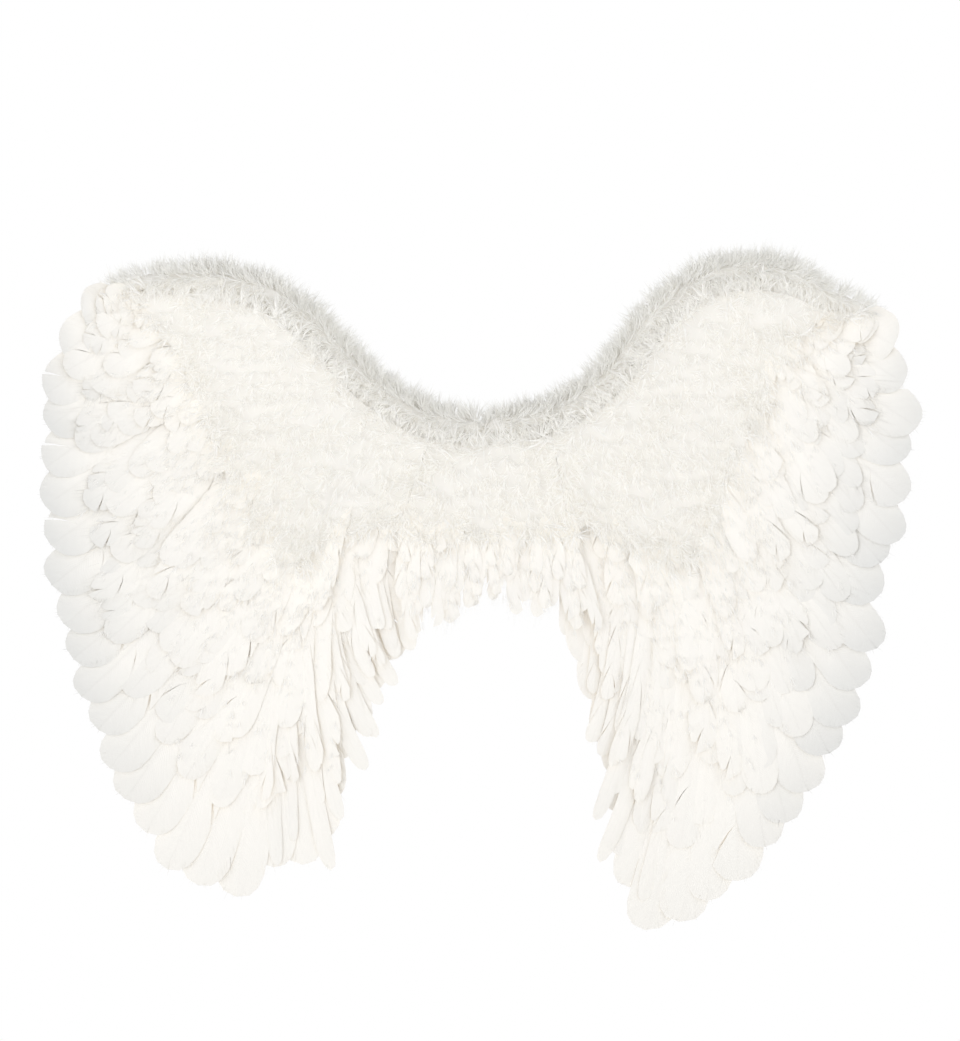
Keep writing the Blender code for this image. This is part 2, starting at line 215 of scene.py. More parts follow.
# A loop's route, sewn end to sewn end. Columns are shares: out of the splay, away of the reach, and up of
# the rise.
# out, away, up
LOOP_ROUTE = (
    (0.00, 0.00, 0.15),
    (0.00, 0.00, 0.39),
    (0.14, 0.05, 0.60),
    (0.46, 0.16, 0.81),
    (0.80, 0.40, 1.00),
    (0.96, 0.72, 0.90),
    (1.00, 0.96, 0.44),
    (0.97, 1.00, -0.06),
    (0.85, 0.80, -0.46),
    (0.56, 0.42, -0.66),
    (0.20, 0.12, -0.58),
    (0.00, 0.00, -0.39),
    (0.00, 0.00, -0.15),
)
LOOP_SECTIONS = 7  # between two points of the route
LOOP_RIBS = 8  # across the band
THREAD_PITCH = 0.0011


def number(name, text, value, unit="NONE"):
    return bpy.props.FloatProperty(name=name, description=text, default=value, unit=unit)


def metres(name, text, value):
    return bpy.props.FloatProperty(name=name, description=text, default=value, unit="LENGTH", precision=4)


def whole(name, text, value):
    return bpy.props.IntProperty(name=name, description=text, default=value)


def white(name, text, value):
    return bpy.props.FloatVectorProperty(
        name=name, description=text, default=value, subtype="COLOR", min=0.0, max=1.0)


class WingSizes(bpy.types.PropertyGroup):
    """Sizes of the wings, as the solids have them."""

    span: metres("Span", "Width over the feather tips", 0.566)
    height: metres("Height", "Height that the feather lines' shares are of", 0.448)
    board: metres("Board", "Thickness of the felt board", 0.003)
    board_reach: number("Board reach", "Share of each feather line that the board covers", 0.66)
    flat: metres("Flat", "Half the width of the flat middle", 0.048)
    sweep: metres("Sweep", "How far the tips stand away from the wearer", 0.030)
    gap: metres("Gap", "Clearance between a row and the board", 0.0005)
    row_lift: metres("Row lift", "Height that a row gains over a whole feather line", 0.01864)
    spread: metres("Spread", "How much shorter than the longest a feather may be", 0.0045)


class FeatherLook(bpy.types.PropertyGroup):
    """How a single feather is made."""

    wall: number("Wall", "Thickness of a vane, as a share of the feather's width", 0.016)
    shaft: number("Shaft", "Radius of the shaft at the vane's start, as a share of the width", 0.013)
    barb: number("Barb", "Radius of a loose barb at the edge, as a share of the width", 0.007)
    camber: number("Camber", "How far the vane's edges drop, as a share of the width", 0.06)
    tilt: number("Tilt", "How far a flight feather is rolled over its neighbour", 0.15, "ROTATION")
    inner_tilt: number(
        "Inner tilt", "How far any other feather is rolled over its neighbour", 0.05, "ROTATION")
    ruffle: metres("Ruffle", "How far the vanes wave", 0.0007)
    looseness: number("Looseness", "Tufts of loose barbs on a square metre where loose is 1", 27000.0)
    loose_length: metres("Loose length", "Length of a loose barb", 0.0105)
    seed: whole("Seed", "Start of the feathers' random values", 7)


class FluffLook(bpy.types.PropertyGroup):
    """How down and marabou are made."""

    down_length: metres("Down length", "Length of a down barb", 0.0135)
    down_density: number("Down density", "Tufts of down on a square metre", 48000.0)
    pad: metres("Pad", "Thickness of the lower end of the pad that the down grows on", 0.0025)
    pad_top: metres("Pad top", "Thickness of the pad under the trim", 0.0125)
    pad_reach: number("Pad reach", "Share of each wing's feather lines that the pad covers", 0.36)
    pad_dip: number("Pad dip", "How much further the pad reaches in the middle", 0.24)
    trim_length: metres("Trim length", "Length of a marabou barb", 0.0140)
    trim_density: number("Trim density", "Tufts of marabou on a square metre", 105000.0)
    trim_core: metres("Trim core", "Radius of the trim under its barbs", 0.0062)
    trim_seat: number("Trim seat", "From the edge to the trim's middle, as a share of its radius", 0.95)
    trim_radius: metres("Trim radius", "Radius of the trim without its tufts", 0.0115)
    trim_taper: metres("Trim taper", "Length over which the trim thins out at a wing's shoulder", 0.070)
    seed: whole("Seed", "Start of the barbs' random values", 11)


class LoopSizes(bpy.types.PropertyGroup):
    """Sizes of the elastic shoulder loops."""

    width: metres("Width", "Width of the elastic", 0.010)
    thickness: metres("Thickness", "Thickness of the elastic", 0.0015)
    foot: metres("Foot", "From the board's middle to a loop's sewn ends", 0.032)
    splay: metres("Splay", "How much further out a loop runs in front", 0.088)
    reach: metres("Reach", "How far a loop stands away from the board", 0.122)
    rise: metres("Rise", "Height of a loop above its middle", 0.092)


class Finishes(bpy.types.PropertyGroup):
    """Colours of the materials."""

    feather_inner: white("Inner feather", "Warm white of the inner feathers", (0.998, 0.973, 0.928))
    # The outer colour is greyer than the feathers' own cool white, as it also paints shade at their tips.
    feather_outer: white("Outer feather", "Cool white of the outer feathers", (0.800, 0.800, 0.785))
    down: white("Down", "White of the down", (0.998, 0.993, 0.980))
    marabou: white("Marabou", "White of the marabou", (0.998, 0.993, 0.980))
    # Painted shade: the marabou's greyer white on its outer, upper side, which faces away from the light.
    marabou_painted_shade: white("Marabou edge", "Greyer white of the marabou's outer side", (0.925, 0.920, 0.900))
    felt: white("Felt", "White of the board", (0.88, 0.88, 0.855))
    elastic: white("Elastic", "White of the loops", (0.91, 0.91, 0.895))


class Studio(bpy.types.PropertyGroup):
    """Camera, floor and lights."""

    view_height: metres("View height", "Height of the picture at the board", 0.6865)
    view_up: metres("View centre", "Height of the picture's middle", -0.0101)
    distance: metres("Distance", "From the camera to the wings", 2.8)
    floor: metres("Floor", "Height of the floor, far below the wings", -0.85)
    backdrop: number("Backdrop", "How bright the surround looks", 1.0)
    surround: number("Surround", "How much light the surround gives", 1.315)
    overhead: number("Overhead", "Light from overhead, as a share of that from the sides", 0.35)
    bounces: whole("Bounces", "Times that light goes on in the fluff", 20)
    key: number("Key", "Power of the key light", 8.0, "POWER")
    fill: number("Fill", "Power of the fill light", 1.5, "POWER")


def settings(name):
    return getattr(bpy.context.scene, "wings_" + name)


def clamp(value):
    return min(max(value, 0.0), 1.0)


def evenly(first, last, pieces):
    """Values from first to last, with as many pieces between them."""
    return [first + (last - first) * piece / pieces for piece in range(pieces + 1)]


def bell(value, middle, width):
    return math.exp(-(((value - middle) / width) ** 2))


def add_object(name, data):
    """A new object in the scene, at the origin."""
    made = bpy.data.objects.new(name, data)
    bpy.context.scene.collection.objects.link(made)
    return made


def along(rows, station):
    """One row of a table at any station between its rows, on a smooth curve through them."""
    last = len(rows) - 1
    station = min(max(station, 0.0), float(last))
    first = min(int(station), last - 1)
    share = station - first
    before = rows[max(first - 1, 0)]
    here = rows[first]
    there = rows[first + 1]
    after = rows[min(first + 2, last)]
    return [
        b + 0.5 * share * (c - a + share * (2 * a - 5 * b + 4 * c - d + share * (3 * (b - c) + d - a)))
        for a, b, c, d in zip(before, here, there, after)
    ]


def line_point(station, share):
    """A point of the wing's plane, across and up, at a share of the feather line from its root."""
    sizes = settings("sizes")
    root_x, root_z, middle_x, middle_z, tip_x, tip_z = along(FEATHER_LINES, station)
    at_root = (1 - share) * (1 - 2 * share)
    at_middle = 4 * share * (1 - share)
    at_tip = share * (2 * share - 1)
    across = at_root * root_x + at_middle * middle_x + at_tip * tip_x
    up = at_root * root_z + at_middle * middle_z + at_tip * tip_z
    return across * sizes.span / 2, up * sizes.height


def swept(across, up, depth):
    """The place of a point of the wing's plane, with the sweep away from the wearer."""
    sizes = settings("sizes")
    outside = max(0.0, abs(across) - sizes.flat) / (sizes.span / 2 - sizes.flat)
    return Vector((across, -depth - sizes.sweep * outside**2, up))


def row_point(station, share, height_share, above=0.0):
    """A point on a row whose height starts at height_share, and above it."""
    sizes = settings("sizes")
    depth = sizes.board + sizes.gap + sizes.row_lift * (share - height_share) + above
    return swept(*line_point(station, share), depth)


def run_along(points):
    """How far along a chain of points each of them lies."""
    run = [0.0]
    for a, b in zip(points, points[1:]):
        run.append(run[-1] + (b - a).length)
    return run


def even_steps(run, pieces):
    """Even steps along a chain, each as the number of the point before it and how far past that it lies."""
    at = 0
    for piece in range(pieces + 1):
        goal = run[-1] * piece / pieces
        while at < len(run) - 2 and run[at + 1] < goal:
            at += 1
        yield at, goal - run[at]


def even_points(points, pitch):
    """Points a pitch apart, or nearly so, along a chain of points, from its first to its last."""
    run = run_along(points)
    found = []
    for at, past in even_steps(run, max(1, round(run[-1] / pitch))):
        step = points[at + 1] - points[at]
        found.append(points[at] + step * min(past / step.length, 1.0))
    return found


def even_stations(first, last, share, count):
    """Stations that split one curve of equal share into pieces of equal length."""
    stations = evenly(first, last, ROW_CUTS)
    run = run_along([Vector(line_point(station, share)) for station in stations])
    found = []
    for at, past in even_steps(run, count):
        step = stations[at + 1] - stations[at]
        found.append(stations[at] + step * clamp(past / (run[at + 1] - run[at])))
    return found


def line_length(station):
    return run_along([Vector(line_point(station, share)) for share in evenly(0.0, 1.0, LINE_CUTS)])[-1]


def store(mesh, label, kind, values):
    """Stores an attribute with a value for each point."""
    numbers = np.array(values, dtype=np.int32 if kind == "INT" else np.float32).ravel()
    field = "vector" if kind == "FLOAT_VECTOR" else "value"
    mesh.attributes.new(label, kind, "POINT").data.foreach_set(field, numbers)


class Shape:
    """A mesh in the making. Each point has a place, from root to tip, and a pair of values for a UV map."""

    def __init__(self):
        self.points = []
        self.faces = []
        self.places = []
        self.pairs = []

    def add(self, point, place=0.0, pair=(0.0, 0.0)):
        self.points.append(tuple(point))
        self.places.append(place)
        self.pairs.append(pair)
        return len(self.points) - 1

    def both(self, middle, half, place=0.0, pair=(0.0, 0.0)):
        """Two points, one as far over a middle as the other is under it."""
        return self.add(middle + half, place, pair), self.add(middle - half, place, pair)

    def closed_sheet(self, grid):
        """Faces round a grid of an upper and a lower point each, and the walls between the rims."""
        top, under = ([[pair[level] for pair in row] for row in grid] for level in (0, 1))
        rows, columns = len(grid), len(grid[0])
        for r in range(rows - 1):
            for c in range(columns - 1):
                self.faces.append((top[r][c], top[r][c + 1], top[r + 1][c + 1], top[r + 1][c]))
                self.faces.append((under[r][c], under[r + 1][c], under[r + 1][c + 1], under[r][c + 1]))
        rim = [(0, c) for c in range(columns - 1)]
        rim += [(r, columns - 1) for r in range(rows - 1)]
        rim += [(rows - 1, c) for c in range(columns - 1, 0, -1)]
        rim += [(r, 0) for r in range(rows - 1, 0, -1)]
        for (r, c), (s, d) in zip(rim, rim[1:] + rim[:1]):
            self.faces.append((top[r][c], under[r][c], under[s][d], top[s][d]))

    def barb(self, root, end, radius, stretch, pair):
        """A barb: a pyramid on three points, drawn thin along Y by the stretch that the feather gets."""
        ring = []
        for x, y in ((-1.0, -0.6), (1.0, -0.6), (0.0, 1.2)):
            ring.append(self.add(root + Vector((x * radius, y * radius * stretch, 0.0)), root.y, pair))
        top = self.add(end, end.y, pair)
        self.faces.append(tuple(reversed(ring)))
        for side in range(3):
            self.faces.append((ring[side], ring[(side + 1) % 3], top))

    def tube(self, rings):
        """Faces round a chain of rings, closed at both ends."""
        for a, b in zip(rings, rings[1:]):
            sides = len(a)
            for side in range(sides):
                after = (side + 1) % sides
                self.faces.append((a[side], a[after], b[after], b[side]))
        self.faces.append(tuple(reversed(rings[0])))
        self.faces.append(tuple(rings[-1]))

    def mesh(self, name, smooth=True):
        mesh = bpy.data.meshes.new(name)
        mesh.from_pydata(self.points, [], self.faces)
        shape = bmesh.new()
        shape.from_mesh(mesh)
        bmesh.ops.recalc_face_normals(shape, faces=shape.faces)
        shape.to_mesh(mesh)
        shape.free()
        store(mesh, "place", "FLOAT", self.places)
        corners = np.empty(len(mesh.loops), dtype=np.int32)
        mesh.loops.foreach_get("vertex_index", corners)
        pairs = np.array(self.pairs, dtype=np.float32)[corners]
        mesh.uv_layers.new(name="UVMap").data.foreach_set("uv", pairs.ravel())
        if smooth:
            mesh.shade_smooth()
            mesh.set_sharp_from_angle(angle=SHARP_ANGLE)
        return mesh


def feather_outline(y, start, tip):
    """Half the width of a feather of width 1, at a place along it."""
    if y > 1 - tip:
        return 0.5 * math.sqrt(max(0.0, 1 - ((y - 1 + tip) / tip) ** 2)) ** 0.85
    widest = 0.42
    grown = clamp((y - start) / (widest - start))
    return 0.5 * (0.30 + 0.70 * math.sin(grown * math.pi / 2) ** 0.8)


def feather_mesh(name, tip, left_splits, right_splits, ragged, fringe, seed):
    """A feather of length 1 along Y and width 1 along X, facing +Z: two vanes of barbs on a shaft.

    The UV map has the place on a barb, from shaft to edge, and the place of the barb along the shaft."""
    look = settings("feather")
    chance = random.Random(seed)
    shape = Shape()
    start, last_barb, shaft_end = 0.07, 0.965, 0.955
    forward = 1.25 * tip
    foot = start + 0.4 * forward
    wave = chance.uniform(0, 2 * math.pi)

    def barb_point(side, t, m, drawn_in=0.0, pushed=0.0, lifted=0.0):
        at_shaft = start + (last_barb - start) * (1 - (1 - t) ** 1.15)
        at_edge = foot + (1 - foot) * (1 - (1 - t) ** 1.75)
        out = feather_outline(at_edge, start, tip) * (1 - drawn_in)
        x = side * out * m
        y = at_shaft + (at_edge - at_shaft) * m**1.4 + pushed * m * m
        z = -look.camber * (2 * x) ** 2 - 0.05 * y * y
        z += 0.014 * math.sin(9 * y + wave + side) * m + lifted * m * m
        return Vector((x, y, z))

    for side, splits in ((-1, left_splits), (1, right_splits)):
        ends = [0, *splits, VANE_ROWS]
        for first, last in zip(ends, ends[1:]):
            drawn = ragged * chance.uniform(0.0, 0.22)
            lifted = (0.2 + ragged) * chance.uniform(-0.05, 0.05)
            grid = []
            for row in range(first, last + 1):
                pushed = 0.0
                if row == last and last < VANE_ROWS:
                    pushed = -0.018 - 0.03 * ragged * chance.random()
                if row == first and first > 0:
                    pushed = 0.012 + 0.02 * ragged * chance.random()
                tooth = ragged * chance.uniform(0.0, 0.10) if row < VANE_ROWS else 0.0
                grid.append([])
                for column in range(VANE_COLUMNS + 1):
                    m = column / VANE_COLUMNS
                    here = barb_point(side, row / VANE_ROWS, m, drawn + tooth, pushed, lifted)
                    half_wall = Vector((0, 0, look.wall / 2 * (1 - 0.55 * m)))
                    grid[-1].append(shape.both(here, half_wall, here.y, (m, row / VANE_ROWS)))
            shape.closed_sheet(grid)
        for barb in range(FRINGE_BARBS):
            t = 0.12 + 0.88 * (barb + chance.uniform(0.0, 0.9)) / FRINGE_BARBS
            inner = barb_point(side, t, 0.80)
            edge = barb_point(side, t, 0.97)
            way = edge - inner
            stray = Vector((chance.uniform(-0.5, 0.5), 0, chance.uniform(-0.6, 0.9)))
            way = (way + stray * way.length).normalized()
            evened = Vector((1, tip, 1)).dot(Vector((abs(way.x), abs(way.y), 0)))
            end = edge + way * evened * fringe * chance.uniform(0.3, 1.3)
            shape.barb(inner, end, look.barb, tip, (0.9, t))
    rings = []
    for y in evenly(0.0, shaft_end, 5):
        radius = look.shaft * (1 - 0.86 * y)
        middle = -0.05 * y * y - look.wall * 0.1
        ring = []
        for x, z in ((-1, 0), (1, 0), (0, 1)):
            ring.append(shape.add((x * radius, y, middle + z * radius * 0.8), y, (0.0, y)))
        rings.append(ring)
    shape.tube(rings)
    return shape.mesh(name)


def leaning(out, tilt):
    """A way that is tilted from +Z towards a way out."""
    return out * math.sin(tilt) + Vector((0, 0, math.cos(tilt)))


def tuft_mesh(name, barbs, widest, seed):
    """A tuft of length 1 along Z: thin bent barbs, pointed at both ends, that leave one root and spread."""
    bend, thickest = 0.45, 0.017
    chance = random.Random(seed)
    shape = Shape()
    for _ in range(barbs):
        angle = chance.uniform(0, 2 * math.pi)
        tilt = chance.uniform(0.05, widest)
        length = chance.uniform(0.62, 1.0)
        out = Vector((math.cos(angle), math.sin(angle), 0.0))
        aside = Vector((-out.y, out.x, 0.0))
        foot = out * chance.uniform(0.0, 0.07)
        middle = foot + leaning(out, tilt * 0.7) * length * bend
        end = middle + leaning(out, tilt * 1.5) * length * (1 - bend)
        end += aside * chance.uniform(-0.16, 0.16)
        bottom = shape.add(foot, 0.0, (0.5, 0.0))
        ring = []
        for side in range(3):
            turn = 2 * math.pi * side / 3 + angle
            offset = Vector((math.cos(turn), math.sin(turn), 0.0)) * thickest
            ring.append(shape.add(middle + offset, bend * length, (side / 3, bend * length)))
        top = shape.add(end, length, (0.5, length))
        for side in range(3):
            after = ring[(side + 1) % 3]
            shape.faces.append((bottom, after, ring[side]))
            shape.faces.append((ring[side], after, top))
    made = shape.mesh(name, smooth=False)
    store(made, "downy", "FLOAT", [1.0] * len(shape.points))
    return made


def collection_of(name, meshes):
    """A collection with an object for each mesh, in the order of their names."""
    made = bpy.data.collections.new(name)
    bpy.context.scene.collection.children.link(made)
    for mesh in meshes:
        made.objects.link(bpy.data.objects.new(mesh.name, mesh))
    return made


def drop_collection(made):
    for old in list(made.objects):
        bpy.data.objects.remove(old)
    bpy.data.collections.remove(made)


class Nodes:
    """Short calls for a node tree: its nodes, its links and its sums."""

    def __init__(self, tree):
        self.tree = tree

    def give(self, value, socket):
        """Links a socket to an input, or sets the input to a plain value."""
        if isinstance(value, bpy.types.NodeSocket):
            self.tree.links.new(value, socket)
        else:
            socket.default_value = value

    def node(self, kind, values=None, **options):
        made = self.tree.nodes.new(kind)
        for option, value in options.items():
            setattr(made, option, value)
        for key, value in (values or {}).items():
            self.give(value, made.inputs[key])
        return made

    def math(self, operation, first, second=0.0):
        return self.node("ShaderNodeMath", {0: first, 1: second}, operation=operation).outputs[0]

    def times(self, first, second):
        return self.math("MULTIPLY", first, second)

    def span(self, value, low, high, to_low=0.0, to_high=1.0):
        """A value's place between low and high, as a value between two others."""
        given = {"Value": value, "From Min": low, "From Max": high, "To Min": to_low, "To Max": to_high}
        return self.node("ShaderNodeMapRange", given).outputs[0]


class Tree(Nodes):
    """A Geometry Nodes tree in the making. It is given geometry, a material and the inputs that it names."""

    def __init__(self, name, inputs):
        super().__init__(bpy.data.node_groups.new(name, "GeometryNodeTree"))
        self.sockets = {}
        face = self.tree.interface
        face.new_socket(name="Geometry", in_out="OUTPUT", socket_type="NodeSocketGeometry")
        face.new_socket(name="Geometry", in_out="INPUT", socket_type="NodeSocketGeometry")
        always = {"Tufts": "Collection", "Seed": "Int", "Material": "Material"}
        for label, kind in {**inputs, **always}.items():
            socket = face.new_socket(name=label, in_out="INPUT", socket_type="NodeSocket" + kind)
            self.sockets[label] = socket.identifier
        self.given = self.tree.nodes.new("NodeGroupInput").outputs

    def attribute(self, name, kind="FLOAT"):
        made = self.node("GeometryNodeInputNamedAttribute", {"Name": name}, data_type=kind)
        return made.outputs["Attribute"]

    def vector_math(self, operation, first, second):
        made = self.node("ShaderNodeVectorMath", {0: first}, operation=operation)
        self.give(second, made.inputs["Scale" if operation == "SCALE" else 1])
        return made.outputs[0]

    def random(self, low, high, seed, kind="FLOAT"):
        """A random value between two others. Each kind has its own sockets on the node."""
        first, result = {"FLOAT_VECTOR": (0, 0), "FLOAT": (2, 1), "INT": (4, 2)}[kind]
        given = {first: low, first + 1: high, "Seed": seed}
        return self.node("FunctionNodeRandomValue", given, data_type=kind).outputs[result]

    def compare(self, value, operation, limit):
        return self.node("FunctionNodeCompare", {0: value, 1: limit}, operation=operation).outputs[0]

    def placed(self, points, collection, index, turn, scale):
        """One of a collection's objects on each point, made real."""
        kinds = self.node("GeometryNodeCollectionInfo", {"Collection": collection, 1: True, 2: True})
        made = self.node("GeometryNodeInstanceOnPoints", {
            "Points": points, "Instance": kinds.outputs[0], "Pick Instance": True, "Instance Index": index,
            "Rotation": turn, "Scale": scale})
        return self.node("GeometryNodeRealizeInstances", {0: made.outputs[0]}).outputs[0]

    def tufted(self, ground, selection, density, length, lean, scatter):
        """Tufts on the chosen faces of the ground, which lean from the faces towards the ground's flow."""
        sown = self.node("GeometryNodeDistributePointsOnFaces", {
            "Mesh": ground, "Density": density, "Seed": self.given["Seed"], "Selection": selection})
        flow = self.vector_math("SCALE", self.attribute("flow", "FLOAT_VECTOR"), lean)
        stray = self.random((-1.0, -1.0, -1.0), (1.0, 1.0, 1.0), seed=3, kind="FLOAT_VECTOR")
        way = self.vector_math("ADD", sown.outputs["Normal"], flow)
        way = self.vector_math("ADD", way, self.vector_math("SCALE", stray, scatter))
        turned = self.node("FunctionNodeAlignRotationToVector", {"Vector": way}, axis="Z")
        spin = self.node("FunctionNodeAxisAngleToRotation", {"Angle": self.random(0.0, 2 * math.pi, seed=5)})
        turn = self.node(
            "FunctionNodeRotateRotation", {0: turned.outputs[0], 1: spin.outputs[0]}, rotation_space="LOCAL")
        drawn = self.random(0, TUFT_DRAWS, seed=0, kind="INT")
        size = self.times(self.random(*TUFT_SIZES, seed=9), length)
        return self.placed(sown.outputs["Points"], self.given["Tufts"], drawn, turn.outputs[0], size)

    def finish(self, tufts, ground, spent):
        """Joins the tufts to their ground, drops the attributes that have served, and gives the material."""
        both = self.node("GeometryNodeJoinGeometry")
        self.give(tufts, both.inputs[0])
        self.give(ground, both.inputs[0])
        geometry = both.outputs[0]
        for name in spent:
            dropped = self.node("GeometryNodeRemoveAttribute", {"Geometry": geometry, "Name": name})
            geometry = dropped.outputs[0]
        dressed = self.node("GeometryNodeSetMaterial", {
            "Geometry": geometry, "Material": self.given["Material"]})
        self.node("NodeGroupOutput", {0: dressed.outputs[0]})
        return self


def apply_tree(made, tree, values):
    """Runs a tree on an object and turns the result into the object's own plain mesh."""
    modifier = made.modifiers.new(tree.tree.name, "NODES")
    modifier.node_group = tree.tree
    for label, value in values.items():
        modifier[tree.sockets[label]] = value
    graph = bpy.context.evaluated_depsgraph_get()
    mesh = bpy.data.meshes.new_from_object(
        made.evaluated_get(graph), preserve_all_data_layers=True, depsgraph=graph)
    made.modifiers.remove(modifier)
    old = made.data
    made.data = mesh
    bpy.data.meshes.remove(old)
    mesh.name = made.name
    if not mesh.polygons:
        raise RuntimeError(made.name + " came out empty")
    return made


def feather_tree():
    """Sets a feather on each point, turned, sized and bent as the point says, with a small wave, and sows
    loose barbs on the outer end of each."""
    tree = Tree("Feathers on points", {
        "Feathers": "Collection", "Ruffle": "Float", "Loose density": "Float", "Loose length": "Float"})
    given = tree.given
    turn = tree.node("FunctionNodeEulerToRotation", {0: tree.attribute("turn", "FLOAT_VECTOR")})
    whole = tree.placed(given["Geometry"], given["Feathers"], tree.attribute("kind", "INT"), turn.outputs[0],
                        tree.attribute("size", "FLOAT_VECTOR"))
    place = tree.attribute("place")
    # The arch is 0 at a feather's ends and 1 in its middle.
    arch = tree.times(tree.times(place, tree.math("SUBTRACT", 1.0, place)), 4.0)
    bent = tree.vector_math("SCALE", tree.attribute("bend", "FLOAT_VECTOR"), arch)
    noise = tree.node(
        "ShaderNodeTexNoise", {"Scale": RUFFLE_SCALE, "W": given["Seed"]}, noise_dimensions="4D")
    # The noise seldom strays more than a quarter from its middle.
    centred = tree.vector_math("SUBTRACT", noise.outputs["Color"], (0.5, 0.5, 0.5))
    waved = tree.vector_math("SCALE", centred, tree.times(given["Ruffle"], 4.0))
    moved = tree.node("GeometryNodeSetPosition", {
        "Geometry": whole, "Offset": tree.vector_math("ADD", bent, waved)}).outputs[0]
    normal = tree.node("ShaderNodeSeparateXYZ", {0: tree.node("GeometryNodeInputNormal").outputs[0]})
    facing = tree.compare(normal.outputs["Y"], "LESS_THAN", LOOSE_FACING)
    outer = tree.compare(place, "GREATER_THAN", LOOSE_FROM)
    shown = tree.node("FunctionNodeBooleanMath", {0: facing, 1: outer}).outputs[0]
    density = tree.times(given["Loose density"], tree.attribute("loose"))
    loose = tree.tufted(moved, shown, density, given["Loose length"], *LOOSE_LEAN)
    return tree.finish(loose, moved, ("bend", "flow", "loose"))


def fluff_tree():
    """Sows tufts on a base and keeps the base under them."""
    tree = Tree("Tufts on a base", {
        "Density": "Float", "Length": "Float", "Lean": "Float", "Scatter": "Float"})
    given = tree.given
    grow = tree.attribute("grow")
    fluff = tree.tufted(
        given["Geometry"], tree.compare(grow, "GREATER_THAN", BARE), tree.times(given["Density"], grow),
        tree.times(given["Length"], grow), given["Lean"], given["Scatter"])
    return tree.finish(fluff, given["Geometry"], ("flow", "grow"))


def coolness(station):
    """How cool a white the outer feathers have at a station."""
    nearest = min(abs(station - middle) / half for middle, half in COOL_STRETCHES)
    return clamp(1.6 - 1.6 * nearest)


def feather_points(name, rows, stations, proud_last, seed):
    """Points for the feathers of some rows, with each feather's turn, size, bend, flow, kind and tone."""
    look = settings("feather")
    sizes = settings("sizes")
    chance = random.Random(seed)
    places = []
    kept = {
        ("turn", "FLOAT_VECTOR"): [], ("size", "FLOAT_VECTOR"): [], ("bend", "FLOAT_VECTOR"): [],
        ("flow", "FLOAT_VECTOR"): [], ("kind", "INT"): [], ("tone", "FLOAT"): [], ("loose", "FLOAT"): []}
    for _, root, reach, height, count, width, slack, warmth, frayed, loose in rows:
        strict = slack < STRICT_SLACK
        tilt = look.tilt if strict else look.inner_tilt
        found = even_stations(*stations, reach, count)
        for feather, (before, after) in enumerate(zip(found, found[1:])):
            station = (before + after) / 2 + (after - before) * chance.uniform(-slack, slack)
            cut = sizes.spread * (0.5 + 0.5 * math.sin(2.4 * feather))
            cut += slack * chance.uniform(0.0, 0.5 * width)
            longer = 0.0
            if strict:
                for at, depth in NOTCHES:
                    cut += depth * sizes.span / 2 * bell(station, at, NOTCH_WIDTH)
            else:
                longer = STRAY_LENGTH * chance.uniform(-slack, slack)
            end = reach + longer - min(cut / line_length(station), MOST_CUT * (reach - root))
            above = OFF_ROW + 0.36 * width * tilt + slack * chance.uniform(0.0, STRAY_OFF)
            bottom = row_point(station, root, height, above * 0.5)
            middle = row_point(station, (root + end) / 2, height, above)
            top = row_point(station, end, height, above)
            length = (top - bottom).length
            ahead = (top - bottom).normalized()
            broad, step = root + 0.75 * (end - root), 0.04
            aside = row_point(station - step, broad, height) - row_point(station + step, broad, height)
            aside = (aside - ahead * aside.dot(ahead)).normalized()
            turn = Matrix((aside, ahead, aside.cross(ahead))).transposed()
            wide = width * chance.uniform(0.92, 1.10)
            roll = (tilt if proud_last else -tilt) + slack * chance.uniform(-STRAY_ROLL, STRAY_ROLL)
            yaw = slack * chance.uniform(-STRAY_YAW, STRAY_YAW)
            turn = turn @ Matrix.Rotation(yaw, 3, "Z") @ Matrix.Rotation(roll, 3, "Y")
            tip = (STRICT_TIP if strict else 1.0) * wide / length
            shape = min(range(len(FEATHER_TIPS)), key=lambda index: abs(FEATHER_TIPS[index] - tip))
            if chance.random() < frayed:
                worn = chance.randrange(WHOLE_KINDS, len(WEAR))
            else:
                worn = chance.randrange(0, WHOLE_KINDS)
            cooled = reach**3 * chance.uniform(0.75, 1.0) * coolness(station)
            tone = clamp(warmth - cooled + chance.uniform(-0.1, 0.05))
            places.append(bottom)
            bent = middle - (bottom + top) / 2
            size = (wide, length, wide)
            chosen = shape * len(WEAR) + worn
            facts = (turn.to_euler(), size, bent, ahead, chosen, tone, loose)
            for values, value in zip(kept.values(), facts):
                values.append(value)
    mesh = bpy.data.meshes.new(name)
    mesh.from_pydata(places, [], [])
    for (label, kind), values in kept.items():
        store(mesh, label, kind, values)
    return add_object(name, mesh)


def feather_kinds():
    meshes = []
    for index, tip in enumerate(FEATHER_TIPS):
        for worn, how in enumerate(WEAR):
            label = f"feather_kind_{index * len(WEAR) + worn:02d}"
            meshes.append(feather_mesh(label, tip, *how, 31 * index + worn))
    return collection_of("feather kinds", meshes)


def tuft_kinds(form):
    meshes = [tuft_mesh(f"tuft_kind_{index:02d}", *form, TUFT_SEED + index) for index in range(TUFT_KINDS)]
    return collection_of("tuft kinds", meshes)


def base_object(name, shape, flows, grows, painted_shade_tones):
    """The base that tufts grow on, with how they lean, how long they grow and their tone at each point; a
    tone below 1 paints shade.
    """
    mesh = shape.mesh(name)
    store(mesh, "flow", "FLOAT_VECTOR", flows)
    store(mesh, "grow", "FLOAT", grows)
    store(mesh, "tone", "FLOAT", painted_shade_tones)
    return add_object(name, mesh)


def pad_point(station, share, above=0.0):
    return row_point(station, share, PAD_HEIGHT, above)


